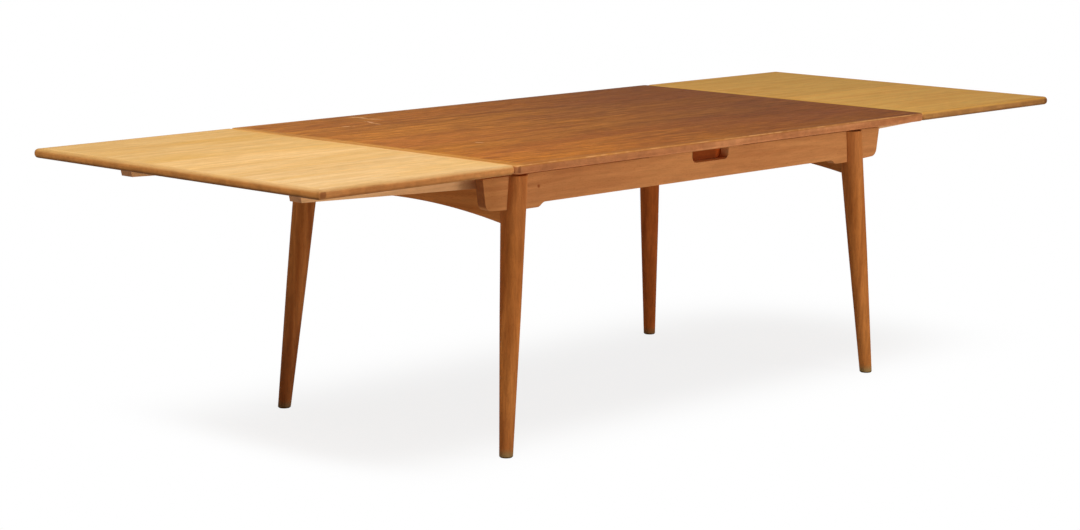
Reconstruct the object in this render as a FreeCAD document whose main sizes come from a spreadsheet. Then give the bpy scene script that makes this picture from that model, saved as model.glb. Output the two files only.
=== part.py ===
"""Extending dining table with a loose main top and two leaves on sloping lopers.

Lengths are in millimetres. X runs along the table, Y across it and Z up from the floor.
The table is drawn with both leaves out.
"""
import FreeCAD
import Part
import Sketcher
import math
import os

doc = FreeCAD.newDocument("extending_table")
sheet = doc.addObject("Spreadsheet::Sheet", "Sheet")
nodes = {}

# An edge is picked when it lies within this of its spot
reach_of_pick = 0.05


class Size:
    """A length that keeps its number together with the expression that drives it."""

    def __init__(self, value, text):
        self.value = float(value)
        self.text = text

    def _join(self, other, sign, swap=False):
        if not isinstance(other, Size):
            other = Size(other, repr(float(other)))
        first, second = (other, self) if swap else (self, other)
        results = {
            "+": lambda: first.value + second.value,
            "-": lambda: first.value - second.value,
            "*": lambda: first.value * second.value,
            "/": lambda: first.value / second.value,
        }
        return Size(results[sign](), "(" + first.text + " " + sign + " " + second.text + ")")

    def __add__(self, other):
        return self._join(other, "+")

    def __radd__(self, other):
        return self._join(other, "+", True)

    def __sub__(self, other):
        return self._join(other, "-")

    def __rsub__(self, other):
        return self._join(other, "-", True)

    def __mul__(self, other):
        return self._join(other, "*")

    def __rmul__(self, other):
        return self._join(other, "*", True)

    def __truediv__(self, other):
        return self._join(other, "/")

    def __neg__(self):
        return self._join(0, "-", True)


def size(alias, value, note):
    """Write one named size to the sheet and return it."""
    row = len(sheet.getUsedCells()) // 2 + 1
    sheet.set("A" + str(row), note)
    sheet.set("B" + str(row), str(value))
    sheet.setAlias("B" + str(row), alias)
    return Size(value, "Sheet." + alias)


# Boards
top_length = size("top_length", 1600, "length of the main top")
top_width = size("top_width", 986, "width of the main top")
leaf_length = size("leaf_length", 613, "length of one leaf along the table")
leaf_step = size("leaf_step", 2, "side edge of the main top beyond a leaf's")
board_thick = size("board_thick", 22, "thickness of the main top and the leaves")
table_height = size("table_height", 712, "floor to upper face of the main top")
lip_width = size("lip_width", 25, "width of the solid edge lippings")
board_corner = size("board_corner", 12, "corner radius of the boards seen from above")
top_round = size("top_round", 6, "rounding of the main top's edges")
leaf_round = size("leaf_round", 10, "rounding of the leaves' edges")
leaf_gap = size("leaf_gap", 0.6, "gap between the main top and a leaf")
top_clear = size("top_clear", 26, "space between apron and main top, taken by a stowed leaf")

# Long aprons
apron_thick = size("apron_thick", 25, "thickness of the long aprons")
apron_inset = size("apron_inset", 130, "side edge of the main top to the apron's outer face")
apron_mid = size("apron_mid", 72, "depth of the apron between the legs")
apron_lug = size("apron_lug", 83, "depth of the apron inside each leg")
apron_ear = size("apron_ear", 76, "depth of the apron at the ears")
ear_inset = size("ear_inset", 23, "end of the main top to the end of an ear")
ear_slant = size("ear_slant", 13, "inward lean of the ear's end")
ear_round = size("ear_round", 22, "lower corner radius of the ear")
lug_long = size("lug_long", 44, "length of the apron's deep part inside a leg")
lug_run = size("lug_run", 14, "length of the curved step in the lower edge")
lug_round = size("lug_round", 21, "radii of the curved step")
notch_middle = size("notch_middle", 56, "offset of the apron notch from the middle")
notch_long = size("notch_long", 144, "length of the apron notch")
notch_deep = size("notch_deep", 29, "depth of the apron notch")
notch_round = size("notch_round", 16, "lower corner radius of the apron notch")

# Legs
leg_inset = size("leg_inset", 119, "end of an ear to the middle of a leg's upper end")
leg_back = size("leg_back", 11, "apron's outer face to the middle of a leg's upper end")
splay_along = size("splay_along", 57, "lean of a leg along the table")
splay_across = size("splay_across", 35, "lean of a leg across the table")
foot_radius = size("foot_radius", 16.5, "radius of a leg just above its foot bevel")
foot_bevel = size("foot_bevel", 2.5, "bevel around a foot")
leg_radius = size("leg_radius", 32, "radius of a leg at its upper end")
leg_swell = size("leg_swell", 1, "swelling of a leg's radius at mid-height")

# End rails
rail_out = size("rail_out", 8, "middle of a leg's upper end out to that of an end rail")
rail_thick = size("rail_thick", 24, "thickness of an end rail")
rail_end = size("rail_end", 118, "depth of an end rail at the legs")
rail_mid = size("rail_mid", 87.5, "depth of an end rail at mid-width")
tenon_thick = size("tenon_thick", 10, "thickness of the end rail tenons")
tenon_high = size("tenon_high", 56, "height of the end rail tenons")
tenon_below = size("tenon_below", 20, "upper edge of the end rail down to the tenon")
tenon_long = size("tenon_long", 21, "length of a tenon with its root in the rail")
tenon_short = size("tenon_short", 0.5, "gap between a tenon's end and the apron")

# Centre board and the guides of the main top
felt_thick = size("felt_thick", 2, "thickness of the felt pads")
felt_side = size("felt_side", 30, "side of a felt pad")
felt_margin = size("felt_margin", 38, "end of the centre board to the middle of a felt pad")
felt_back = size("felt_back", 158, "apron's inner face to the middle of a felt pad")
centre_gap = size("centre_gap", 3, "gap between the centre board and a stowed leaf")
guide_middle = size("guide_middle", 80, "offset of a guide block from the middle")
guide_long = size("guide_long", 120, "length of a guide block")
guide_thick = size("guide_thick", 14, "thickness of a guide block")
guide_deep = size("guide_deep", 64, "height of a guide block")
guide_clear = size("guide_clear", 0.8, "play of a guide block in its slot")
guide_back = size("guide_back", 3, "apron's inner face to the guide block")

# Lopers
loper_thick = size("loper_thick", 38, "thickness of a loper")
loper_back = size("loper_back", 29, "apron's inner face to a left loper")
loper_apart = size("loper_apart", 5, "gap between the left and right lopers that lie side by side")
loper_inset = size("loper_inset", 110, "outer edge of a leaf to the end of its lopers")
loper_tip = size("loper_tip", 35, "depth of a loper at its outer end")
loper_cut = size("loper_cut", 9, "lean of a loper's outer end")
loper_hold = size("loper_hold", 64, "length of a loper under the centre board")
loper_side = size("loper_side", 1, "side play of a loper in the end rail")
loper_slip = size("loper_slip", 0.3, "play under a loper in the end rail")
loper_seat = size("loper_seat", 2, "inner edge of a leaf to the loper's seat")
loper_top = size("loper_top", 0.5, "play of a loper under the centre board")
stow_clear = size("stow_clear", 1, "play between a stowed leaf and the main top")
out_travel = size("out_travel", 40, "travel of a leaf beyond the flush position")
pin_radius = size("pin_radius", 4, "radius of a stop pin")
pin_out = size("pin_out", 9, "part of a stop pin outside its loper")
pin_in = size("pin_in", 27, "part of a stop pin inside its loper")

# Screws
screw_radius = size("screw_radius", 2.2, "shank radius of the wood screws")
screw_head = size("screw_head", 4.4, "head radius of the wood screws")
screw_cone = size("screw_cone", 3, "height of a screw's countersunk head")
screw_hold = size("screw_hold", 14, "length of a screw in the board above")
screw_web = size("screw_web", 18, "wood of a loper or guide block under a screw head")
centre_screw = size("centre_screw", 50, "length of the centre board's screws")
screw_margin = size("screw_margin", 60, "end of a loper's seat to its first screw")
centre_margin = size("centre_margin", 28, "end of the centre board to its outer screws")
centre_inner = size("centre_inner", 67, "middle of the centre board to its inner screws")
guide_margin = size("guide_margin", 19, "end of a guide block to its screws")
bore_play = size("bore_play", 0.6, "play of a screw head in its counterbore")
guide_screw = size("guide_screw", 1.7, "shank radius of the guide block screws")
guide_head = size("guide_head", 3.2, "head radius of the guide block screws")
doc.recompute()

# Levels and distances that follow from the sizes
board_low = table_height - board_thick
apron_top = board_low - top_clear
half_top = top_length / 2
leaf_inner = half_top + leaf_gap
leaf_outer = leaf_inner + leaf_length
leaf_width = top_width - leaf_step * 2
apron_face = top_width / 2 - apron_inset
apron_back = apron_face - apron_thick
ear_reach = half_top - ear_inset
leg_x = ear_reach - leg_inset
leg_y = apron_face - leg_back
foot_x = leg_x + splay_along
foot_y = leg_y + splay_across
leg_side = leg_x - leg_radius
lug_end = leg_side - lug_long
rail_x = leg_x + rail_out
stow_travel = leaf_length + leaf_gap
incline = (board_thick + stow_clear) / stow_travel
centre_half = half_top - leaf_length - centre_gap
centre_high = top_clear - felt_thick
felt_x = centre_half - felt_margin
felt_y = apron_back - felt_back
left_loper_y = apron_back - loper_back
right_loper_y = left_loper_y - loper_thick - loper_apart
loper_inner = centre_half - loper_hold
loper_end = leaf_outer - loper_inset
bore_deep = loper_tip + incline * (loper_end - leaf_inner)
guide_out = apron_back - guide_back


def drive(item, prop, value):
    """Bind a property to a size."""
    if isinstance(value, Size):
        item.setExpression(prop, value.text)
    else:
        item.setExpression(prop, repr(float(value)))


def place(item, x, y, z, turn=0):
    """Put an item at driven coordinates, turned about Z."""
    item.Placement = FreeCAD.Placement(
        FreeCAD.Vector(0, 0, 0), FreeCAD.Rotation(FreeCAD.Vector(0, 0, 1), turn)
    )
    drive(item, "Placement.Base.x", x)
    drive(item, "Placement.Base.y", y)
    drive(item, "Placement.Base.z", z)


def box(name, x, y, z, long, wide, high):
    """Block from its lower corner."""
    item = doc.addObject("Part::Box", name)
    drive(item, "Length", long)
    drive(item, "Width", wide)
    drive(item, "Height", high)
    place(item, x, y, z)
    return item


def rod(name, x, y, z, radius, high):
    """Upright cylinder from its lower centre."""
    item = doc.addObject("Part::Cylinder", name)
    drive(item, "Radius", radius)
    drive(item, "Height", high)
    place(item, x, y, z)
    return item


def cone(name, x, y, z, low_radius, high_radius, high):
    """Upright cone from its lower centre."""
    item = doc.addObject("Part::Cone", name)
    drive(item, "Radius1", low_radius)
    drive(item, "Radius2", high_radius)
    drive(item, "Height", high)
    place(item, x, y, z)
    return item


def fuse(name, items):
    """Join several items."""
    item = doc.addObject("Part::MultiFuse", name)
    item.Shapes = items
    return item


def common(name, items):
    """Keep what several items share."""
    item = doc.addObject("Part::MultiCommon", name)
    item.Shapes = items
    return item


def cut(name, base, tools):
    """Take several tools from a base, one after the other."""
    for count, tool in enumerate(tools):
        last = count == len(tools) - 1
        item = doc.addObject("Part::Cut", name if last else name + "_stage" + str(count))
        item.Base = base
        item.Tool = tool
        base = item
    return base


def node(name, item):
    """Register a finished piece under its own label."""
    item.Label = name
    nodes[name] = item
    return item


def pin_point(sketch, tag, geometry, position, x, y):
    """Fix one sketch point at driven coordinates."""
    for letter, value in (("X", x), ("Y", y)):
        rule = Sketcher.Constraint("Distance" + letter, -1, 1, geometry, position, value.value)
        index = sketch.addConstraint(rule)
        sketch.renameConstraint(index, tag + letter)
        sketch.setExpression("Constraints." + tag + letter, value.text)


def polygon(sketch, points):
    """Draw a closed outline whose corners are all driven."""
    count = len(points)
    spots = [FreeCAD.Vector(x.value, y.value, 0) for x, y in points]
    for index in range(count):
        sketch.addGeometry(Part.LineSegment(spots[index], spots[(index + 1) % count]), False)
    for index in range(count):
        rule = Sketcher.Constraint("Coincident", index, 2, (index + 1) % count, 1)
        sketch.addConstraint(rule)
    for index, (x, y) in enumerate(points):
        pin_point(sketch, "p" + str(index), index, 1, x, y)


def body_sketch(body, role, offset):
    """Start a sketch on one of a body's own planes."""
    sketch = body.newObject("Sketcher::SketchObject", body.Name + "_sketch")
    plane = [item for item in body.Origin.OriginFeatures if item.Role == role][0]
    sketch.AttachmentSupport = [(plane, "")]
    sketch.MapMode = "FlatFace"
    drive(sketch, "AttachmentOffset.Base.z", offset)
    return sketch


def pad(body, sketch, thickness):
    """Raise a sketch to a solid."""
    item = body.newObject("PartDesign::Pad", body.Name + "_pad")
    item.Profile = sketch
    drive(item, "Length", thickness)
    sketch.Visibility = False
    doc.recompute()
    return item


def round_edges(body, name, base, picked, radius):
    """Round the picked edges of a body."""
    item = body.newObject("PartDesign::Fillet", body.Name + "_" + name)
    item.Base = (base, picked)
    drive(item, "Radius", radius)
    doc.recompute()
    return item


def edges_along(shape, axis, spots):
    """Names of the straight edges that run along an axis through the given spots."""
    others = [index for index in range(3) if index != axis]
    picked = []
    for count, edge in enumerate(shape.Edges):
        ends = [vertex.Point for vertex in edge.Vertexes]
        if len(ends) != 2:
            continue
        if max(abs(ends[0][index] - ends[1][index]) for index in others) > reach_of_pick:
            continue
        for spot in spots:
            offsets = [abs(ends[0][index] - value) for index, value in zip(others, spot)]
            if max(offsets) < reach_of_pick:
                picked.append("Edge" + str(count + 1))
    return picked


def prism(name, points, y_high, thickness):
    """Extrude an outline in the X-Z plane towards -Y."""
    sketch = doc.addObject("Sketcher::SketchObject", name + "_sketch")
    sketch.Placement = FreeCAD.Placement(
        FreeCAD.Vector(0, 0, 0), FreeCAD.Rotation(FreeCAD.Vector(1, 0, 0), 90)
    )
    drive(sketch, "Placement.Base.y", y_high)
    polygon(sketch, points)
    item = doc.addObject("Part::Extrusion", name)
    item.Base = sketch
    item.DirMode = "Normal"
    item.Solid = True
    drive(item, "LengthFwd", thickness)
    return item


# Boards: a rounded blank, divided into a panel and four mitred lippings


def board_blank(name, middle, length, width, rounding):
    """Whole board with rounded corners and edges."""
    body = doc.addObject("PartDesign::Body", name)
    sketch = body_sketch(body, "XY_Plane", board_low)
    x_low, x_high = middle - length / 2, middle + length / 2
    y_low, y_high = -(width / 2), width / 2
    polygon(sketch, [(x_low, y_low), (x_high, y_low), (x_high, y_high), (x_low, y_high)])
    solid = pad(body, sketch, board_thick)
    spots = [(x.value, y.value) for x in (x_low, x_high) for y in (y_low, y_high)]
    corners = edges_along(solid.Shape, 2, spots)
    solid = round_edges(body, "corners", solid, corners, board_corner)
    levels = (board_low.value, table_height.value)
    rims = []
    for count, edge in enumerate(solid.Shape.Edges):
        flat = edge.BoundBox.ZLength < reach_of_pick
        if flat and min(abs(edge.BoundBox.ZMin - level) for level in levels) < reach_of_pick:
            rims.append("Edge" + str(count + 1))
    round_edges(body, "rims", solid, rims, rounding)
    return body


def lipping(name, blank, middle, run, reach, turn):
    """One mitred lipping, cut from the blank with a tapered block."""
    spare = lip_width
    block = doc.addObject("Part::Wedge", name + "_block")
    drive(block, "Xmin", -(run / 2) - spare)
    drive(block, "Xmax", run / 2 + spare)
    drive(block, "Ymin", -(reach / 2) - spare)
    drive(block, "Ymax", -(reach / 2) + lip_width)
    drive(block, "X2min", -(run / 2) + lip_width)
    drive(block, "X2max", run / 2 - lip_width)
    for prop in ("Zmin", "Z2min"):
        drive(block, prop, board_low - spare)
    for prop in ("Zmax", "Z2max"):
        drive(block, prop, table_height + spare)
    place(block, middle, 0, 0, turn)
    return node(name, common(name, [blank, block]))


def board(prefix, middle, length, width, rounding, ends, holes):
    """Panel and lippings of one board."""
    blank = board_blank(prefix + "_blank", middle, length, width, rounding)
    core = box(
        prefix + "_core", middle - length / 2 + lip_width, -(width / 2) + lip_width, board_low,
        length - lip_width * 2, width - lip_width * 2, board_thick,
    )
    node(prefix + "_panel", cut(prefix + "_panel", core, holes))
    lipping(prefix + "_front_lipping", blank, middle, length, width, 0)
    lipping(prefix + "_rear_lipping", blank, middle, length, width, 180)
    lipping(prefix + "_" + ends[0] + "_lipping", blank, middle, width, length, -90)
    lipping(prefix + "_" + ends[1] + "_lipping", blank, middle, width, length, 90)


def up_screw(name, x, y, web, shank, head):
    """Head and shank of a screw driven upwards into a board."""
    low = board_low - web
    tip = cone(name + "_head", x, y, low, head, shank, screw_cone)
    stem = rod(name + "_stem", x, y, low + screw_cone, shank, web - screw_cone + screw_hold)
    return [tip, stem]


def counterbore(name, x, y, web, head, depth):
    """Round hole from below up to a screw head."""
    return rod(name, x, y, board_low - web - depth, head + bore_play, depth)


# Long aprons: one pattern, the rear one turned half round


def apron(name, turn):
    """Apron with ears, stepped lower edge and one notch."""
    body = doc.addObject("PartDesign::Body", name)
    sketch = body_sketch(body, "XZ_Plane", apron_back)
    mid, lug, ear = apron_top - apron_mid, apron_top - apron_lug, apron_top - apron_ear
    notch_low = apron_top - notch_deep
    notch_left = notch_middle - notch_long / 2
    notch_right = notch_middle + notch_long / 2
    ear_low = ear_reach - ear_slant
    step = lug_end - lug_run
    outline = [
        (-ear_reach, apron_top), (-ear_low, ear), (-leg_side, lug), (-lug_end, lug), (-step, mid),
        (step, mid), (lug_end, lug), (leg_side, lug), (ear_low, ear), (ear_reach, apron_top),
        (notch_right, apron_top), (notch_right, notch_low),
        (notch_left, notch_low), (notch_left, apron_top),
    ]
    polygon(sketch, outline)
    solid = pad(body, sketch, apron_thick)

    def pick(shape, spots):
        return edges_along(shape, 1, [(x.value, z.value) for x, z in spots])

    ears = pick(solid.Shape, [(-ear_low, ear), (ear_low, ear)])
    solid = round_edges(body, "ears", solid, ears, ear_round)
    steps = [(-lug_end, lug), (-step, mid), (step, mid), (lug_end, lug)]
    solid = round_edges(body, "steps", solid, pick(solid.Shape, steps), lug_round)
    notch = [(notch_right, notch_low), (notch_left, notch_low)]
    round_edges(body, "notch", solid, pick(solid.Shape, notch), notch_round)
    body.Placement = FreeCAD.Placement(
        FreeCAD.Vector(0, 0, 0), FreeCAD.Rotation(FreeCAD.Vector(0, 0, 1), turn)
    )
    return node(name, body)


aprons = {-1: apron("front_apron", 0), 1: apron("rear_apron", 180)}


# Legs: slightly swelling taper, slotted over the aprons and mortised for the end rails


def leg_blank(name, along, across):
    """Round tapered leg, level at both ends, with a bevelled foot."""
    rings = []
    rise = foot_bevel / apron_top
    mid_radius = (foot_radius + leg_radius) / 2 + leg_swell
    levels = (
        (foot_x, foot_y, 0, foot_radius - foot_bevel),
        (foot_x - splay_along * rise, foot_y - splay_across * rise, foot_bevel, foot_radius),
        ((foot_x + leg_x) / 2, (foot_y + leg_y) / 2, apron_top / 2, mid_radius),
        (leg_x, leg_y, apron_top, leg_radius),
    )
    for count, (x, y, z, radius) in enumerate(levels):
        ring = doc.addObject("Part::Circle", name + "_ring" + str(count))
        drive(ring, "Radius", radius)
        place(ring, x * along, y * across, z)
        rings.append(ring)
    item = doc.addObject("Part::Loft", name)
    item.Sections = rings
    item.Solid = True
    item.Ruled = True
    return item


def tenon(name, along, across):
    """Tenon of an end rail, from inside the rail to just short of the apron."""
    y_low = tenon_short - apron_back
    if across > 0:
        y_low = apron_back - tenon_short - tenon_long
    return box(
        name, rail_x * along - tenon_thick / 2, y_low, apron_top - tenon_below - tenon_high,
        tenon_thick, tenon_long, tenon_high,
    )


legs = {}
tenons = {}
side_names = {-1: "left", 1: "right"}
edge_names = {-1: "front", 1: "rear"}
for along in (-1, 1):
    for across in (-1, 1):
        name = edge_names[across] + "_" + side_names[along]
        legs[along, across] = leg_blank(name + "_blank", along, across)
        tenons[along, across] = tenon(name + "_tenon", along, across)
        shaped = cut(
            name + "_leg", legs[along, across], [aprons[across], tenons[along, across]]
        )
        node(name + "_leg", shaped)


# End rails: arched below, notched for the lopers, coped to the legs


def loper_low(distance):
    """Height of a loper's lower edge at a distance from the middle of the table."""
    return board_low - loper_tip - incline * (loper_end - loper_cut - distance)


def loper_high(distance):
    """Height of a loper's upper edge inside the frame."""
    return apron_top - loper_top + incline * (distance - centre_half)


def end_rail(name, along, loper_y):
    """One end rail with two loper notches and two tenons at each end."""
    body = doc.addObject("PartDesign::Body", name + "_blank")
    face = rail_x * along - rail_thick / 2
    sketch = body_sketch(body, "YZ_Plane", face)
    low = apron_top - rail_end
    rise = rail_end - rail_mid
    radius = (apron_back * apron_back + rise * rise) / (rise * 2)
    corners = [(-apron_back, low), (-apron_back, apron_top), (apron_back, apron_top), (apron_back, low)]
    spots = [FreeCAD.Vector(y.value, z.value, 0) for y, z in corners]
    for index in range(3):
        sketch.addGeometry(Part.LineSegment(spots[index], spots[index + 1]), False)
    centre = FreeCAD.Vector(0, low.value + rise.value - radius.value, 0)
    half_angle = math.asin(apron_back.value / radius.value)
    circle = Part.Circle(centre, FreeCAD.Vector(0, 0, 1), radius.value)
    arch = Part.ArcOfCircle(circle, math.pi / 2 - half_angle, math.pi / 2 + half_angle)
    sketch.addGeometry(arch, False)
    for first, second in ((0, 1), (1, 2)):
        sketch.addConstraint(Sketcher.Constraint("Coincident", first, 2, second, 1))
    sketch.addConstraint(Sketcher.Constraint("Coincident", 2, 2, 3, 1))
    sketch.addConstraint(Sketcher.Constraint("Coincident", 3, 2, 0, 1))
    pin_point(sketch, "a", 0, 1, *corners[0])
    pin_point(sketch, "b", 1, 1, *corners[1])
    pin_point(sketch, "c", 2, 1, *corners[2])
    pin_point(sketch, "d", 2, 2, *corners[3])
    index = sketch.addConstraint(Sketcher.Constraint("Radius", 3, radius.value))
    sketch.renameConstraint(index, "arch")
    sketch.setExpression("Constraints.arch", radius.text)
    pad(body, sketch, rail_thick)

    near, far = rail_x - rail_thick, rail_x + rail_thick
    floor = [
        (near * along, loper_low(near) - loper_slip), (far * along, loper_low(far) - loper_slip),
        (far * along, board_low), (near * along, board_low),
    ]
    wide = loper_thick + loper_side * 2
    tools = [
        prism(name + "_notch_front", floor, loper_side + loper_thick - loper_y, wide),
        prism(name + "_notch_rear", floor, loper_side + loper_y, wide),
        legs[along, -1],
        legs[along, 1],
    ]
    coped = cut(name + "_coped", body, tools)
    return node(name, fuse(name, [coped, tenons[along, -1], tenons[along, 1]]))


loper_sides = {-1: left_loper_y, 1: right_loper_y}
for along in (-1, 1):
    end_rail(side_names[along] + "_end_rail", along, loper_sides[along])


# Centre board, its screws and its felt pads
slots = []
for across in (-1, 1):
    x_low = -(guide_middle * across) - guide_long / 2 - guide_clear
    y_low = guide_out * across - guide_clear
    if across > 0:
        y_low = y_low - guide_thick
    slots.append(box(
        edge_names[across] + "_guide_slot", x_low, y_low, apron_top - guide_clear,
        guide_long + guide_clear * 2, guide_thick + guide_clear * 2, centre_high + guide_clear * 2,
    ))

centre_screw_parts = []
centre_row = (centre_margin - centre_half, -centre_inner, centre_half - centre_margin)
for across in (-1, 1):
    for count, x in enumerate(centre_row):
        tag = edge_names[across] + "_centre_screw" + str(count)
        x = x * -across
        y = (apron_face - apron_thick / 2) * across
        neck = apron_top + centre_high - screw_cone
        stem = centre_screw - screw_cone
        centre_screw_parts.append(
            cone(tag + "_head", x, y, neck, screw_radius, screw_head, screw_cone)
        )
        centre_screw_parts.append(rod(tag + "_stem", x, y, neck - stem, screw_radius, stem))
centre_screws = node("centre_screws", fuse("centre_screws", centre_screw_parts))

plank = box(
    "centre_plank", -centre_half, -apron_face, apron_top,
    centre_half * 2, apron_face * 2, centre_high,
)
node("centre_board", cut("centre_board", plank, slots + [centre_screws]))

pads = []
for along in (-1, 1):
    for across in (-1, 1):
        tag = edge_names[across] + "_" + side_names[along] + "_felt"
        pads.append(box(
            tag, felt_x * along - felt_side / 2, felt_y * across - felt_side / 2,
            apron_top + centre_high, felt_side, felt_side, felt_thick,
        ))
node("centre_felts", fuse("centre_felts", pads))

for across in (-1, 1):
    node_name = edge_names[across] + "_apron"
    drilled = cut(node_name + "_drilled", aprons[across], [centre_screws])
    aprons[across].Label = node_name + "_blank"
    node(node_name, drilled)


# Main top with its guide blocks
guide_screw_parts = []
for across in (-1, 1):
    tag = edge_names[across] + "_guide"
    middle = -(guide_middle * across)
    y_low = guide_out * across
    if across > 0:
        y_low = y_low - guide_thick
    y = y_low + guide_thick / 2
    bores = []
    screws = []
    for side in (-1, 1):
        x = middle + (guide_long / 2 - guide_margin) * side
        part = tag + "_" + side_names[side]
        screws.extend(up_screw(part + "_screw", x, y, screw_web, guide_screw, guide_head))
        bores.append(counterbore(part + "_bore", x, y, screw_web, guide_head, guide_deep))
    guide_screw_parts.extend(screws)
    raw = box(
        tag + "_raw", middle - guide_long / 2, y_low, board_low - guide_deep,
        guide_long, guide_thick, guide_deep,
    )
    bored = fuse(tag + "_holes", bores + screws)
    node(tag + "_block", cut(tag + "_block", raw, [bored]))
guide_screws = node("guide_screws", fuse("guide_screws", guide_screw_parts))
board("top", Size(0, "0"), top_length, top_width, top_round, ("left", "right"), [guide_screws])


# Leaves with their lopers, screws and stop pins
for along in (-1, 1):
    side = side_names[along]
    outer_y = loper_sides[along]
    step = leaf_inner + loper_seat
    tip = loper_end - loper_cut
    shape = [
        (loper_end * along, board_low), (tip * along, loper_low(tip)),
        (loper_inner * along, loper_low(loper_inner)),
        (loper_inner * along, loper_high(loper_inner)),
        (step * along, loper_high(step)), (step * along, board_low),
    ]
    screw_row = (leaf_inner + screw_margin, (leaf_inner + loper_end) / 2, loper_end - screw_margin)
    screw_parts = []
    pin_parts = []
    for across in (-1, 1):
        tag = side + "_" + edge_names[across] + "_loper"
        y_high = outer_y if across > 0 else loper_thick - outer_y
        raw = prism(tag + "_raw", shape, y_high, loper_thick)
        y = (outer_y - loper_thick / 2) * across
        screws = []
        bores = []
        for count, distance in enumerate(screw_row):
            part = tag + str(count)
            x = distance * along
            screws.extend(up_screw(part + "_screw", x, y, screw_web, screw_radius, screw_head))
            bores.append(counterbore(part + "_bore", x, y, screw_web, screw_head, bore_deep))
        screw_parts.extend(screws)

        pin = doc.addObject("Part::Cylinder", tag + "_pin")
        pin_x = rail_x - rail_thick / 2 - out_travel - pin_radius - loper_slip
        pin_z = (loper_low(pin_x) + loper_high(pin_x)) / 2
        if along < 0:
            far_y = outer_y + pin_out
        else:
            far_y = outer_y - loper_thick + pin_in
        y_start = far_y if across > 0 else pin_out + pin_in - far_y
        drive(pin, "Radius", pin_radius)
        drive(pin, "Height", pin_out + pin_in)
        pin.Placement = FreeCAD.Placement(
            FreeCAD.Vector(0, 0, 0), FreeCAD.Rotation(FreeCAD.Vector(1, 0, 0), 90)
        )
        drive(pin, "Placement.Base.x", pin_x * along)
        drive(pin, "Placement.Base.y", y_start)
        drive(pin, "Placement.Base.z", pin_z)
        pin_parts.append(pin)
        holes = fuse(tag + "_holes", bores + screws)
        node(tag, cut(tag, raw, [holes, pin]))
    leaf_screws = node(side + "_loper_screws", fuse(side + "_loper_screws", screw_parts))
    node(side + "_stop_pins", fuse(side + "_stop_pins", pin_parts))
    ends = ("outer", "inner") if along < 0 else ("inner", "outer")
    middle = (leaf_inner + leaf_length / 2) * along
    board(side + "_leaf", middle, leaf_length, leaf_width, leaf_round, ends, [leaf_screws])


doc.recompute()
for item in doc.Objects:
    if "Invalid" in item.State or "Error" in item.State:
        raise RuntimeError(item.Label + " did not build: " + str(item.State))
for name, item in nodes.items():
    if item.Shape.isNull() or not item.Shape.isValid() or not item.Shape.Solids:
        raise RuntimeError(name + " has no valid solid")

os.makedirs("parts", exist_ok=True)
for name, item in nodes.items():
    item.Shape.exportStep("parts/" + name + ".step")
print("pieces written:", len(nodes))
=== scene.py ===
"""Looks of the extending dining table: aged wood, screws, felt, studio and camera."""
import math

import bmesh
import bpy
from mathutils import Matrix, Vector

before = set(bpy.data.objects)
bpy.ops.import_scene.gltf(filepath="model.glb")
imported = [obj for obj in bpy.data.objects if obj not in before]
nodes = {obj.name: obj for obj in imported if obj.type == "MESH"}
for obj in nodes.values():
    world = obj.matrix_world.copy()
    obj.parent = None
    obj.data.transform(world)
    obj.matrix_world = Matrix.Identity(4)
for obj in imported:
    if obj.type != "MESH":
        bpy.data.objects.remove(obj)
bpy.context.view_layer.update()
scene = bpy.context.scene
scene.view_settings.view_transform = "Standard"

# Camera at the photograph's place, with the image taken as 1080 by 530 pixels
image_width = 1080
focal_pixels = 2852.17
sensor_width = 36.0
camera_place = Vector((-5.50755, -4.87905, 1.55167))
camera_yaw = 0.82920
camera_pitch = -0.16459
camera_roll = 0.01079


def photo_camera():
    """Camera with the photograph's view."""
    forward = Vector((
        math.sin(camera_yaw) * math.cos(camera_pitch),
        math.cos(camera_yaw) * math.cos(camera_pitch),
        math.sin(camera_pitch),
    ))
    level_right = Vector((math.cos(camera_yaw), -math.sin(camera_yaw), 0.0))
    level_up = level_right.cross(forward)
    right = level_right * math.cos(camera_roll) + level_up * math.sin(camera_roll)
    up = level_up * math.cos(camera_roll) - level_right * math.sin(camera_roll)
    data = bpy.data.cameras.new("photo_camera")
    data.sensor_fit = "HORIZONTAL"
    data.sensor_width = sensor_width
    data.lens = sensor_width * focal_pixels / image_width
    item = bpy.data.objects.new("photo_camera", data)
    turned = Matrix((right, up, -forward)).transposed().to_4x4()
    item.matrix_world = Matrix.Translation(camera_place) @ turned
    scene.collection.objects.link(item)
    return item


scene.camera = photo_camera()

# Display levels to linear light: a short straight part, then a power curve
top_level = 255
straight_end = 0.04045
straight_slope = 12.92
curve_offset = 0.055
curve_power = 2.4


def tone(red, green, blue):
    """Linear colour from 8-bit display values."""
    linear = []
    for level in (red, green, blue):
        share = level / top_level
        if share <= straight_end:
            linear.append(share / straight_slope)
        else:
            linear.append(((share + curve_offset) / (1 + curve_offset)) ** curve_power)
    return (*linear, 1.0)


# Places of the colour sockets on a mix node
mix_first = 6
mix_second = 7
mix_result = 2


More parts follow.
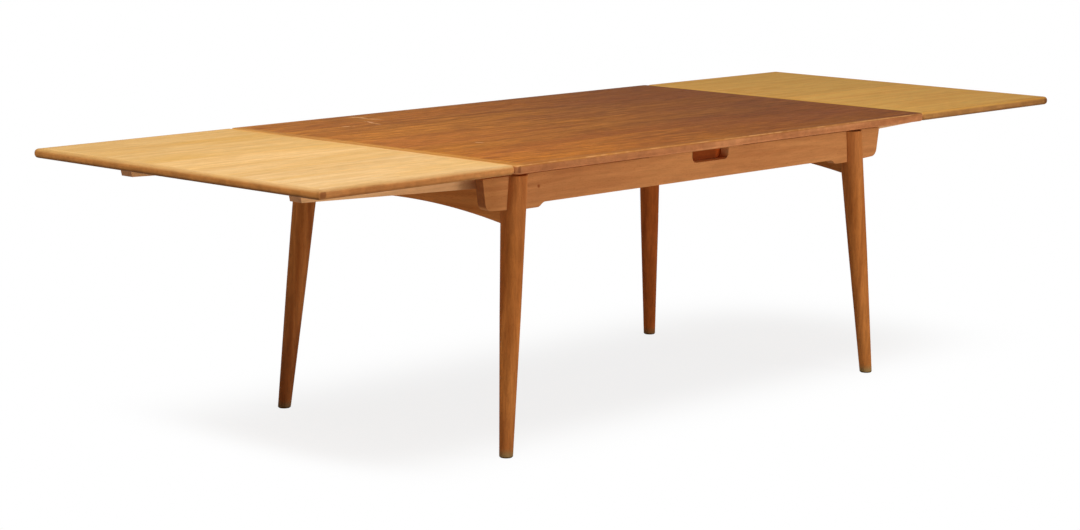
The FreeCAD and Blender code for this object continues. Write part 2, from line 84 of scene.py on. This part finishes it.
class Nodes:
    """Short calls for building one node tree."""

    def __init__(self, tree):
        self.tree = tree

    def feed(self, socket, value):
        if isinstance(value, bpy.types.NodeSocket):
            self.tree.links.new(value, socket)
        else:
            socket.default_value = value

    def object_place(self):
        return self.tree.nodes.new("ShaderNodeTexCoord").outputs["Object"]

    def calc(self, operation, first, second=0.0, clamp=False):
        item = self.tree.nodes.new("ShaderNodeMath")
        item.operation = operation
        item.use_clamp = clamp
        self.feed(item.inputs[0], first)
        self.feed(item.inputs[1], second)
        return item.outputs[0]

    def vector(self, operation, first, second):
        item = self.tree.nodes.new("ShaderNodeVectorMath")
        item.operation = operation
        self.feed(item.inputs[0], first)
        self.feed(item.inputs[1], second)
        return item.outputs[0]

    def split(self, vector):
        item = self.tree.nodes.new("ShaderNodeSeparateXYZ")
        self.feed(item.inputs[0], vector)
        return item.outputs[0], item.outputs[1], item.outputs[2]

    def join(self, x, y, z):
        item = self.tree.nodes.new("ShaderNodeCombineXYZ")
        for socket, value in zip(item.inputs, (x, y, z)):
            self.feed(socket, value)
        return item.outputs[0]

    def move(self, vector, place=(0.0, 0.0, 0.0), turn=(0.0, 0.0, 0.0)):
        item = self.tree.nodes.new("ShaderNodeMapping")
        self.feed(item.inputs["Vector"], vector)
        self.feed(item.inputs["Location"], place)
        self.feed(item.inputs["Rotation"], turn)
        return item.outputs[0]

    def noise(self, vector, stretch, detail=2.0, rough=0.5, bend=0.0):
        item = self.tree.nodes.new("ShaderNodeTexNoise")
        self.feed(item.inputs["Vector"], self.vector("MULTIPLY", vector, stretch))
        item.inputs["Scale"].default_value = 1.0
        item.inputs["Detail"].default_value = detail
        item.inputs["Roughness"].default_value = rough
        item.inputs["Distortion"].default_value = bend
        return item.outputs["Fac"]

    def chance(self, value):
        item = self.tree.nodes.new("ShaderNodeTexWhiteNoise")
        item.noise_dimensions = "1D"
        self.feed(item.inputs["W"], value)
        return item.outputs["Value"]

    def range(self, value, low, high, start=0.0, end=1.0):
        item = self.tree.nodes.new("ShaderNodeMapRange")
        item.interpolation_type = "SMOOTHSTEP"
        self.feed(item.inputs["Value"], value)
        item.inputs["From Min"].default_value = low
        item.inputs["From Max"].default_value = high
        item.inputs["To Min"].default_value = start
        item.inputs["To Max"].default_value = end
        return item.outputs["Result"]

    def blend(self, share, first, second, kind="MIX"):
        item = self.tree.nodes.new("ShaderNodeMix")
        item.data_type = "RGBA"
        item.blend_type = kind
        self.feed(item.inputs["Factor"], share)
        self.feed(item.inputs[mix_first], first)
        self.feed(item.inputs[mix_second], second)
        return item.outputs[mix_result]

    def shade(self, colour, level):
        return self.blend(1.0, colour, self.join(level, level, level), "MULTIPLY")

    def bump(self, height, strength, depth):
        item = self.tree.nodes.new("ShaderNodeBump")
        item.inputs["Strength"].default_value = strength
        item.inputs["Distance"].default_value = depth
        self.feed(item.inputs["Height"], height)
        return item.outputs["Normal"]

    def seen(self):
        """1 for a ray that shows the surroundings in the picture, 0 for one that lights."""
        path = self.tree.nodes.new("ShaderNodeLightPath")
        looked_at = self.calc(
            "MAXIMUM", path.outputs["Is Camera Ray"], path.outputs["Is Glossy Ray"])
        return self.calc("MAXIMUM", looked_at, path.outputs["Is Transmission Ray"])

    def end(self, kind, shader):
        item = self.tree.nodes.new(kind)
        self.tree.links.new(shader.outputs[0], item.inputs["Surface"])


def empty_material(name):
    """Material with an empty tree, and its builder."""
    material = bpy.data.materials.new(name)
    material.use_nodes = True
    material.node_tree.nodes.clear()
    return material, Nodes(material.node_tree)


def new_material(name):
    """Material, its builder and its main shader."""
    material, n = empty_material(name)
    shader = n.tree.nodes.new("ShaderNodeBsdfPrincipled")
    n.end("ShaderNodeOutputMaterial", shader)
    return material, n, shader


# Turns that lay the grain's own x along each axis of the table
grain_turns = {
    "x": (0.0, 0.0, 0.0),
    "y": (0.0, 0.0, -math.pi / 2),
    "z": (0.0, math.pi / 2, 0.0),
}
# Shift of the grain for each unit of a wood's seed, and the largest shift between staves
seed_shift = (1.37, 0.71, 0.43)
stave_shift = 7.0

# Noise in the wood: stretch in each direction, detail, roughness and distortion
figure_noise = ((0.9, 9.0, 9.0), 2.0, 0.45, 0.25)
patina_noise = ((1.6, 3.4, 3.4), 3.0, 0.55)
streak_noise = ((2.2, 75.0, 75.0), 3.0, 0.6)
fleck_noise = ((20.0, 150.0, 150.0), 2.0, 0.6)
fibre_noise = ((14.0, 520.0, 520.0), 2.0, 0.6)
pore_noise = ((95.0, 1300.0, 1300.0), 1.0, 0.5)
cloud_noise = ((1.1, 5.5, 5.5), 2.0, 0.5, 0.4)
soil_noise = ((42.0, 42.0, 42.0), 3.0, 0.6)
rub_noise = ((26.0, 26.0, 26.0), 3.0)
waver_noise = ((14.0, 14.0, 14.0),)
break_noise = ((60.0, 220.0, 60.0), 2.0)
knot_noise = ((160.0, 160.0, 160.0),)

# Where each noise starts and ends to show, and how much it gives there, if not 0 and 1
ring_range = (-0.9, 1.0)
mottle_range = (0.30, 0.70)
pore_range = (0.60, 0.70)
cloud_range = (0.42, 0.68, 0.0, 0.55)
soil_range = (0.35, 0.65, 0.88, 1.06)
stave_range = (0.0, 1.0, 0.95, 1.04)
fibre_range = (0.2, 0.8, 0.93, 1.06)
rub_range = (0.34, 0.66, 0.25, 0.85)
break_range = (0.32, 0.50)

# The same for a part of the surface's direction: square on, turned down, under a board's edge,
# between two faces, and looking up
square_range = (0.70, 0.95)
arris_range = (-0.75, -0.15)
under_range = (-0.99, -0.93)
edge_range = (0.74, 0.97, 1.0, 0.0)
upper_range = (0.1, 0.4)
# Where a board's side starts and ends to show its darker colour, partly patina and partly
# painted shade, and the level of painted shade on its lower arris
side_rim = (-0.10, 0.72)
side_arris_shade = 0.68

# Growth rings in the figure, and the parts of rings, patina and streaks in the colour
ring_waves = 46.0
ring_part = 0.30
patina_part = 0.36
streak_part = 0.34
pore_part = 0.30
plain_fleck = 0.05

# Light marks: the noise's middle, wavering in half widths, and how they end both ways
noise_middle = 0.5
mark_waver = 6
mark_long_range = (0.55, 1.0, 1.0, 0.0)
mark_wide_range = (0.2, 1.0, 1.0, 0.0)
# Knots: raggedness, core and rim in radii, and depth of colour
knot_ragged = 0.9
knot_core = 0.7
knot_rim = 1.6
knot_depth = 0.75

# Dullness of the wood's surface and what adds to it, its gloss and its relief
dull_base = 0.57
dull_fibres = 0.10
dull_pores = 0.10
dull_patina = 0.12
wood_gloss = 0.04
fibre_relief = 0.5
relief_strength = 0.35
relief_depth = 0.0002

# Colour filters: end grain, which soaks up more finish, and painted light that makes the notch
# walls and upward faces of the aprons paler
end_grain = (0.60, 0.52, 0.52, 1.0)
notch_painted_light = (1.60, 1.95, 2.30, 1.0)


def with_marks(n, colour, place, worn, marks):
    """Colour with broken, wavering light marks."""
    for middle, long, wide, angle, strength in marks:
        local = n.move(n.vector("SUBTRACT", place, (*middle, 0.0)), turn=(0.0, 0.0, -angle))
        x, y = n.split(local)[:2]
        waver = n.calc("SUBTRACT", n.noise(local, *waver_noise), noise_middle)
        y = n.calc("ADD", y, n.calc("MULTIPLY", waver, wide * mark_waver))
        inside = n.range(n.calc("DIVIDE", n.calc("ABSOLUTE", x), long), *mark_long_range)
        narrow = n.range(n.calc("DIVIDE", n.calc("ABSOLUTE", y), wide), *mark_wide_range)
        broken = n.range(n.noise(local, *break_noise), *break_range)
        share = n.calc("MULTIPLY", n.calc("MULTIPLY", inside, narrow), broken)
        colour = n.blend(n.calc("MULTIPLY", share, strength), colour, worn)
    return colour


def with_knots(n, colour, place, dark, knots):
    """Colour with ragged knots that run through along y."""
    for middle, radius in knots:
        away = n.vector("SUBTRACT", place, middle)
        x, _, z = n.split(away)
        squares = n.calc("ADD", n.calc("MULTIPLY", x, x), n.calc("MULTIPLY", z, z))
        ragged = n.calc("MULTIPLY", n.noise(away, *knot_noise), radius * knot_ragged)
        reach = n.calc("ADD", n.calc("SQRT", squares), ragged)
        core = n.range(reach, radius * knot_core, radius * knot_rim, knot_depth, 0.0)
        colour = n.blend(core, colour, dark, "MULTIPLY")
    return colour


def with_worn_edges(n, colour, place, facing, worn, upper_only):
    """Colour rubbed pale where the surface turns from one face to the next."""
    x, y, z = facing
    flat = n.calc("MAXIMUM", n.calc("ABSOLUTE", x), n.calc("ABSOLUTE", y))
    flat = n.calc("MAXIMUM", flat, n.calc("ABSOLUTE", z))
    edge = n.range(flat, *edge_range)
    if upper_only:
        edge = n.calc("MULTIPLY", edge, n.range(z, *upper_range))
    rubbed = n.range(n.noise(place, *rub_noise), *rub_range)
    return n.blend(n.calc("MULTIPLY", edge, rubbed), colour, worn)


def wood(name, grain, tones, seed, stave=0.0, edges="all", marks=(), knots=(), cast=None,
         sides=None, rim=side_rim, arris=side_arris_shade, fades=(), ends_from=None, inner_painted_light=None,
         corner=None, fleck=plain_fleck):
    """Aged wood: figure, fibres, pores, staves, patina, darker sides partly painted shade, worn
    edges and marks.
    """
    dark, light, worn = tones
    material, n, shader = new_material(name)
    spot = n.tree.nodes.new("ShaderNodeTexCoord")
    place = spot.outputs["Object"]
    facing = n.split(spot.outputs["Normal"])
    up = facing[2]
    along = n.move(place, [seed * shift for shift in seed_shift], grain_turns[grain])
    if stave > 0:
        x, y, z = n.split(along)
        index = n.calc("FLOOR", n.calc("DIVIDE", y, stave))
        tint = n.chance(n.calc("ADD", index, seed))
        along = n.join(n.calc("ADD", x, n.calc("MULTIPLY", tint, stave_shift)), y, z)

    rings = n.calc("SINE", n.calc("MULTIPLY", n.noise(along, *figure_noise), ring_waves))
    patina = n.noise(along, *patina_noise)
    streaks = n.noise(along, *streak_noise)
    flecks = n.noise(along, *fleck_noise)
    fibres = n.noise(along, *fibre_noise)
    pores = n.range(n.noise(along, *pore_noise), *pore_range)

    share = n.calc("MULTIPLY", n.range(rings, *ring_range), ring_part)
    mottled = n.calc("MULTIPLY", n.range(patina, *mottle_range), patina_part)
    share = n.calc("ADD", share, mottled)
    streaked = n.calc("MULTIPLY", n.range(streaks, *mottle_range), streak_part)
    share = n.calc("ADD", share, streaked, True)
    colour = n.blend(share, dark, light)
    if cast:
        clouds = n.noise(along, *cloud_noise)
        colour = n.blend(n.range(clouds, *cloud_range), colour, cast)
    for axis, start, end, filter_colour in fades:
        faded = n.range(n.split(place)["xyz".index(axis)], start, end)
        colour = n.blend(faded, colour, filter_colour, "MULTIPLY")
    # Sides: a darker colour that is partly patina and partly painted shade, soiled in spots,
    # with the lower arris darkened as painted shade, or lightened as painted light where its
    # level is above 1
    if sides:
        soiled = n.range(n.noise(place, *soil_noise), *soil_range)
        level = n.calc("MULTIPLY", soiled, n.range(up, *arris_range, arris, 1.0))
        side_colour = n.shade(n.blend(share, *sides), level)
        turned = n.calc("MULTIPLY", n.range(up, *rim, 1.0, 0.0), n.range(up, *under_range))
        colour = n.blend(turned, colour, side_colour)
    if ends_from is not None:
        axis = "xyz".index(grain)
        lengthwise = n.range(n.calc("ABSOLUTE", facing[axis]), *square_range)
        distance = n.calc("ABSOLUTE", n.split(place)[axis])
        outer = n.calc("GREATER_THAN", distance, ends_from)
        colour = n.blend(n.calc("MULTIPLY", lengthwise, outer), colour, end_grain, "MULTIPLY")
        # Painted light: paler walls inside the notches and paler upward faces
        if inner_painted_light:
            inner = n.calc("SUBTRACT", lengthwise, outer, True)
            inner = n.calc("MAXIMUM", inner, n.range(up, *square_range))
            colour = n.blend(inner, colour, inner_painted_light, "MULTIPLY")
    if corner:
        reached = n.range(n.split(place)[0], *corner)
        crosswise = n.range(n.calc("ABSOLUTE", facing[1]), *square_range)
        colour = n.blend(n.calc("MULTIPLY", reached, crosswise), colour, end_grain, "MULTIPLY")
    if stave > 0:
        colour = n.shade(colour, n.range(tint, *stave_range))
    flecked = n.range(flecks, *mottle_range, 1.0 - fleck, 1.0 + fleck)
    colour = n.shade(colour, n.calc("MULTIPLY", n.range(fibres, *fibre_range), flecked))
    colour = n.blend(n.calc("MULTIPLY", pores, pore_part), colour, dark, "MULTIPLY")
    colour = with_marks(n, colour, place, worn, marks)
    colour = with_knots(n, colour, place, dark, knots)
    if edges != "none":
        colour = with_worn_edges(n, colour, place, facing, worn, edges == "upper")
    n.feed(shader.inputs["Base Color"], colour)

    dull = dull_base
    for pattern, part in ((fibres, dull_fibres), (pores, dull_pores), (patina, dull_patina)):
        dull = n.calc("ADD", n.calc("MULTIPLY", pattern, part), dull)
    n.feed(shader.inputs["Roughness"], dull)
    shader.inputs["Specular IOR Level"].default_value = wood_gloss
    height = n.calc("SUBTRACT", n.calc("MULTIPLY", fibres, fibre_relief), pores)
    n.feed(shader.inputs["Normal"], n.bump(height, relief_strength, relief_depth))
    return material


# Screw steel: lathe lines, tarnish spots and relief
lathe_noise = ((300.0, 300.0, 2600.0), 2.0)
lathe_dull_range = (0.2, 0.8, 0.28, 0.48)
tarnish_noise = ((900.0, 900.0, 900.0), 3.0)
tarnish_range = (0.45, 0.7)
bright_steel = tone(176, 172, 164)
tarnished_steel = tone(122, 112, 100)
lathe_strength = 0.25
lathe_depth = 0.00005


def steel(name):
    """Turned screw steel with fine lathe lines."""
    material, n, shader = new_material(name)
    place = n.object_place()
    lines = n.noise(place, *lathe_noise)
    tarnish = n.range(n.noise(place, *tarnish_noise), *tarnish_range)
    n.feed(shader.inputs["Base Color"], n.blend(tarnish, bright_steel, tarnished_steel))
    shader.inputs["Metallic"].default_value = 1.0
    n.feed(shader.inputs["Roughness"], n.range(lines, *lathe_dull_range))
    n.feed(shader.inputs["Normal"], n.bump(lines, lathe_strength, lathe_depth))
    return material


# Felt: fuzz, clumps, sheen and relief
fuzz_noise = ((1800.0, 1800.0, 1800.0), 4.0, 0.7)
fuzz_dull_range = (0.0, 1.0, 0.85, 1.0)
clump_noise = ((160.0, 160.0, 160.0), 2.0)
clump_range = (0.4, 0.7, 0.0, 0.35)
dark_felt = tone(64, 98, 78)
light_felt = tone(106, 142, 118)
clumped_felt = tone(78, 104, 86)
felt_sheen = 0.4
fuzz_strength = 0.6
fuzz_depth = 0.0006


def felt(name):
    """Pressed wool felt."""
    material, n, shader = new_material(name)
    place = n.object_place()
    fuzz = n.noise(place, *fuzz_noise)
    clumps = n.range(n.noise(place, *clump_noise), *clump_range)
    colour = n.blend(clumps, n.blend(fuzz, dark_felt, light_felt), clumped_felt)
    n.feed(shader.inputs["Base Color"], colour)
    n.feed(shader.inputs["Roughness"], n.range(fuzz, *fuzz_dull_range))
    shader.inputs["Sheen Weight"].default_value = felt_sheen
    n.feed(shader.inputs["Normal"], n.bump(fuzz, fuzz_strength, fuzz_depth))
    return material


# Woods by part: darker tone, lighter tone and the tone of rubbed edges
main_tones = (tone(150, 83, 29), tone(207, 133, 52), tone(232, 178, 124))
lip_tones = (tone(156, 92, 40), tone(198, 131, 64), tone(226, 164, 104))
left_tones = (tone(235, 186, 118), tone(253, 211, 153), tone(222, 172, 108))
right_tones = (tone(241, 171, 78), tone(255, 200, 106), tone(222, 166, 94))
apron_tones = (tone(176, 111, 63), tone(200, 135, 79), tone(212, 148, 94))
rail_tones = (tone(164, 96, 44), tone(204, 134, 72), tone(212, 146, 88))
front_left_leg_tones = (tone(142, 75, 29), tone(190, 115, 54), tone(200, 128, 73))
front_right_leg_tones = (tone(146, 78, 31), tone(194, 119, 57), tone(204, 132, 76))
rear_left_leg_tones = (tone(139, 76, 32), tone(185, 116, 58), tone(196, 126, 72))
# The rear right leg is redder and more saturated: painted shade
rear_right_leg_shaded_tones = (tone(141, 66, 24), tone(188, 101, 44), tone(196, 112, 58))
slide_tones = (tone(201, 150, 102), tone(228, 182, 133), tone(228, 186, 141))
block_tones = (tone(120, 50, 15), tone(150, 71, 25), tone(156, 82, 36))
# Darker sides of the boards, partly patina and partly painted shade, and the casts of their
# colour
left_sides = (tone(171, 106, 53), tone(211, 143, 81))
# The outer lipping of the left leaf is darker still: painted shade
outer_sides_shaded = (tone(155, 97, 45), tone(195, 131, 69))
right_sides = (tone(146, 95, 46), tone(181, 128, 72))
top_sides = (tone(164, 98, 56), tone(198, 132, 84))
leaf_cast = tone(238, 184, 96)
main_cast = tone(186, 108, 44)

# Colour filters along an axis: axis, start, end and the colour filter at the end. Some are
# wear, some painted shade or painted light, as marked; the rest only make the colour lighter,
# darker or warmer.
# Main top: darker towards the right end, painted shade where less light falls; warmer towards
# the front; paler wear at the joint with the left leaf
main_fades_and_shade = (
    ("x", -0.7, 0.8, (0.60, 0.53, 0.65, 1.0)),
    ("y", 0.10, -0.45, (1.0, 0.95, 0.75, 1.0)),
    ("x", -0.750, -0.798, (1.28, 1.52, 1.55, 1.0)),
)
# Painted shade darkening the leaves towards their long and outer edges
painted_rim_shade = (0.80, 0.74, 0.68, 1.0)
front_rim_shade = ("y", -0.466, -0.487, painted_rim_shade)
rear_rim_shade = ("y", 0.466, 0.487, painted_rim_shade)
# Left leaf: darker towards its outer end, warmer towards the rear and the inner end, and the
# painted rim shade
left_fades_and_rim_shade = (
    ("x", -0.85, -1.40, (0.87, 0.87, 0.86, 1.0)),
    ("y", -0.45, 0.45, (0.96, 0.91, 0.74, 1.0)),
    ("x", -0.865, -0.805, (1.0, 0.96, 0.86, 1.0)),
    front_rim_shade,
    rear_rim_shade,
    ("x", -1.390, -1.410, painted_rim_shade),
)
right_rim_shade = (front_rim_shade, rear_rim_shade, ("x", 1.390, 1.410, painted_rim_shade))
# Painted shade on the left ears of the aprons, under the left leaf
apron_ear_shade = (("x", -0.69, -0.75, (0.83, 0.80, 0.73, 1.0)),)
# Painted light on the right ends of the guide blocks, which lie in shade behind the notch walls
block_painted_light = (("x", 0.104, 0.124, (2.40, 2.30, 2.20, 1.0)),)
# Feet: paler, greyer wear towards the bottom, and darker in the last few millimetres
foot_wear = ("z", 0.026, 0.004, (0.70, 1.28, 2.10, 1.0))
foot_rim = ("z", 0.0050, 0.0025, (0.42, 0.42, 0.42, 1.0))
# Legs: lighter and darker bands along their height
front_left_leg_fades = (
    foot_wear,
    foot_rim,
    ("z", 0.44, 0.22, (1.12, 1.20, 1.26, 1.0)),
    ("z", 0.18, 0.06, (0.84, 0.80, 0.82, 1.0)),
    ("z", 0.46, 0.64, (1.14, 1.22, 1.46, 1.0)),
)
front_right_leg_fades = (
    foot_wear,
    foot_rim,
    ("z", 0.42, 0.05, (1.03, 1.10, 1.16, 1.0)),
    ("z", 0.46, 0.64, (1.06, 1.14, 1.35, 1.0)),
)
rear_left_leg_fades = (foot_wear, foot_rim, ("z", 0.45, 0.05, (0.76, 0.70, 0.74, 1.0)))
rear_right_leg_fades = (foot_wear, foot_rim)

# Distance from the middle of the table beyond which lengthwise faces show end grain
apron_ends = 0.70
loper_ends = 0.0
# Stretches along the table in which the end lippings show their end grain at the long edges
left_leaf_corner = (-1.390, -1.394)
right_leaf_corner = (1.390, 1.394)
top_left_corner = (-0.786, -0.789)
# Painted shade on the rims of the leaves, painted light on the main top's lower arris, and
# painted shade on the outer lippings' lower arris
leaf_rim_shade = (0.20, 0.99)
top_arris_light = 1.25
outer_arris_shade = 0.42
# Widths of the staves, and strengths of the flecks
top_stave = 0.148
leaf_stave = 0.133
board_stave = 0.11
top_fleck = 0.22
left_fleck = 0.07
leg_fleck = 0.10

# Light marks on the main top: middle, half length, half width, direction, strength
top_marks = (
    ((-0.401, 0.418), 0.060, 0.010, -1.38, 0.95),
    ((-0.558, 0.316), 0.020, 0.008, -0.08, 0.85),
    ((-0.459, 0.330), 0.045, 0.007, -1.77, 0.85),
    ((-0.550, -0.143), 0.020, 0.006, -0.74, 0.85),
)
# Small knot on the outer face of the front apron: middle and radius
apron_knot = ((-0.585, -0.363, 0.631), 0.006)

aprons = ("front_apron", "rear_apron")
end_rails = ("left_end_rail", "right_end_rail")
legs = ("front_left_leg", "front_right_leg", "rear_left_leg", "rear_right_leg")
lopers = ("left_front_loper", "left_rear_loper", "right_front_loper", "right_rear_loper")
stop_pins = ("left_stop_pins", "right_stop_pins")
guide_blocks = ("front_guide_block", "rear_guide_block")
screws = ("centre_screws", "guide_screws", "left_loper_screws", "right_loper_screws")


def dress(pieces, material):
    """Gives pieces their only material."""
    for piece in pieces:
        slots = nodes[piece].data.materials
        slots.clear()
        slots.append(material)


dress(("top_panel",), wood(
    "top_panel_wood", "x", main_tones, seed=1.0, stave=top_stave, edges="upper",
    marks=top_marks, cast=main_cast, fades=main_fades_and_shade, fleck=top_fleck))
dress(("top_front_lipping", "top_rear_lipping"), wood(
    "top_lipping_wood_along", "x", lip_tones, seed=2.0, edges="upper", sides=top_sides,
    arris=top_arris_light, fades=main_fades_and_shade, corner=top_left_corner))
dress(("top_left_lipping", "top_right_lipping"), wood(
    "top_lipping_wood_across", "y", lip_tones, seed=3.0, edges="upper", sides=top_sides,
    arris=top_arris_light, fades=main_fades_and_shade))
dress(("left_leaf_panel", "left_leaf_front_lipping", "left_leaf_rear_lipping"), wood(
    "left_leaf_wood_along", "x", left_tones, seed=4.0, stave=leaf_stave, edges="none",
    cast=leaf_cast, sides=left_sides, rim=leaf_rim_shade, fades=left_fades_and_rim_shade,
    corner=left_leaf_corner, fleck=left_fleck))
dress(("left_leaf_inner_lipping",), wood(
    "left_leaf_wood_across", "y", left_tones, seed=5.0, edges="upper", cast=leaf_cast,
    sides=left_sides, fades=left_fades_and_rim_shade, fleck=left_fleck))
dress(("left_leaf_outer_lipping",), wood(
    "left_leaf_wood_outer", "y", left_tones, seed=5.0, edges="none", cast=leaf_cast,
    sides=outer_sides_shaded, rim=leaf_rim_shade, arris=outer_arris_shade, fades=left_fades_and_rim_shade, fleck=left_fleck))
dress(("right_leaf_panel", "right_leaf_front_lipping", "right_leaf_rear_lipping"), wood(
    "right_leaf_wood_along", "x", right_tones, seed=6.0, stave=leaf_stave, edges="none",
    sides=right_sides, rim=leaf_rim_shade, fades=right_rim_shade, corner=right_leaf_corner))
dress(("right_leaf_inner_lipping",), wood(
    "right_leaf_wood_across", "y", right_tones, seed=7.0, edges="upper", sides=right_sides,
    fades=right_rim_shade))
dress(("right_leaf_outer_lipping",), wood(
    "right_leaf_wood_outer", "y", right_tones, seed=7.0, edges="none", sides=right_sides,
    rim=leaf_rim_shade, arris=outer_arris_shade, fades=right_rim_shade))
dress(aprons, wood(
    "apron_wood", "x", apron_tones, seed=8.0, edges="none", knots=(apron_knot,),
    fades=apron_ear_shade, ends_from=apron_ends, inner_painted_light=notch_painted_light))
dress(end_rails, wood("end_rail_wood", "y", rail_tones, seed=9.0))
dress(("front_left_leg",), wood(
    "front_left_leg_wood", "z", front_left_leg_tones, seed=10.0, edges="none",
    fades=front_left_leg_fades, fleck=leg_fleck))
dress(("front_right_leg",), wood(
    "front_right_leg_wood", "z", front_right_leg_tones, seed=10.0, edges="none",
    fades=front_right_leg_fades, fleck=leg_fleck))
dress(("rear_left_leg",), wood(
    "rear_left_leg_wood", "z", rear_left_leg_tones, seed=15.0, edges="none",
    fades=rear_left_leg_fades, fleck=leg_fleck))
dress(("rear_right_leg",), wood(
    "rear_right_leg_wood", "z", rear_right_leg_shaded_tones, seed=16.0, edges="none",
    fades=rear_right_leg_fades, fleck=leg_fleck))
dress(lopers, wood("loper_wood", "x", slide_tones, seed=11.0, ends_from=loper_ends))
dress(guide_blocks, wood("guide_block_wood", "x", block_tones, seed=14.0, fades=block_painted_light))
dress(("centre_board",), wood(
    "centre_board_wood", "y", apron_tones, seed=12.0, stave=board_stave))
dress(stop_pins, wood("stop_pin_wood", "y", slide_tones, seed=13.0, edges="none"))
dress(screws, steel("screw_steel"))
dress(("centre_felts",), felt("pad_felt"))

# Hand-softened edges on the sawn pieces
weld_reach = 0.00001
soft_steps = 3
soft_angle = math.radians(40)


def soften(pieces, width):
    """Rounds the sharp edges of pieces."""
    for piece in pieces:
        weld = nodes[piece].modifiers.new("weld", "WELD")
        weld.merge_threshold = weld_reach
        bevel = nodes[piece].modifiers.new("soft_edges", "BEVEL")
        bevel.width = width
        bevel.segments = soft_steps
        bevel.limit_method = "ANGLE"
        bevel.angle_limit = soft_angle
        bevel.harden_normals = True


soften(aprons, width=0.0022)
soften(end_rails, width=0.0020)
soften(legs, width=0.0012)
soften(lopers, width=0.0018)
soften(guide_blocks, width=0.0012)
soften(("centre_board",), width=0.0015)

# Pale floor that keeps a soft shadow under the table and fades to white around it
shade_left = (-1.20, -0.90)
shade_right = (0.90, 1.75)
shade_front = (-0.62, -0.02)
shade_rear = (0.10, 0.94)
shaded_white = 0.82
floor_grey = (0.84, 0.84, 0.84, 1.0)
floor_sides = 96
floor_radius = 40.0
floor_drop = 0.0005
pure_white = (1.0, 1.0, 1.0, 1.0)


def floor_material():
    """Grey floor where the shadow stays, seen as white elsewhere."""
    material, n = empty_material("studio_floor")
    x, y = n.split(n.object_place())[:2]
    shade = n.calc("MULTIPLY", n.range(x, *shade_left), n.range(x, *shade_right, 1.0, 0.0))
    shade = n.calc("MULTIPLY", shade, n.range(y, *shade_front))
    shade = n.calc("MULTIPLY", shade, n.range(y, *shade_rear, 1.0, 0.0))
    white = n.calc("MULTIPLY", n.seen(), n.range(shade, 0.0, 1.0, 1.0, shaded_white))
    plain = n.tree.nodes.new("ShaderNodeBsdfDiffuse")
    plain.inputs["Color"].default_value = floor_grey
    glow = n.tree.nodes.new("ShaderNodeEmission")
    glow.inputs["Color"].default_value = pure_white
    glow.inputs["Strength"].default_value = 1.0
    mixed = n.tree.nodes.new("ShaderNodeMixShader")
    n.feed(mixed.inputs["Fac"], white)
    n.tree.links.new(plain.outputs[0], mixed.inputs[1])
    n.tree.links.new(glow.outputs[0], mixed.inputs[2])
    n.end("ShaderNodeOutputMaterial", mixed)
    return material


floor_mesh = bpy.data.meshes.new("studio_floor")
shape = bmesh.new()
bmesh.ops.create_circle(shape, cap_ends=True, segments=floor_sides, radius=floor_radius)
shape.to_mesh(floor_mesh)
shape.free()
floor = bpy.data.objects.new("studio_floor", floor_mesh)
floor.location.z = -floor_drop
floor_mesh.materials.append(floor_material())
scene.collection.objects.link(floor)

# White surroundings for what is seen, softer light for what is lit
surround_light = 0.28
world = bpy.data.worlds.new("studio")
world.use_nodes = True
world.node_tree.nodes.clear()
scene.world = world
sky = Nodes(world.node_tree)
surround = sky.tree.nodes.new("ShaderNodeBackground")
surround.inputs["Color"].default_value = pure_white
sky.feed(surround.inputs["Strength"], sky.range(sky.seen(), 0.0, 1.0, surround_light, 1.0))
sky.end("ShaderNodeOutputWorld", surround)


def lamp(name, place, target, width, height, watts):
    """Soft rectangular lamp turned to a point."""
    data = bpy.data.lights.new(name, "AREA")
    data.shape = "RECTANGLE"
    data.size = width
    data.size_y = height
    data.energy = watts
    item = bpy.data.objects.new(name, data)
    item.location = place
    item.rotation_euler = (Vector(target) - Vector(place)).to_track_quat("-Z", "Y").to_euler()
    scene.collection.objects.link(item)


lamp("overhead_lamp", place=(-2.4, -0.5, 3.0), target=(-0.9, 0.0, 0.7),
     width=2.4, height=2.0, watts=74.0)
lamp("front_lamp", place=(0.9, -3.3, 0.9), target=(0.0, 0.0, 0.5),
     width=1.8, height=1.2, watts=48.0)
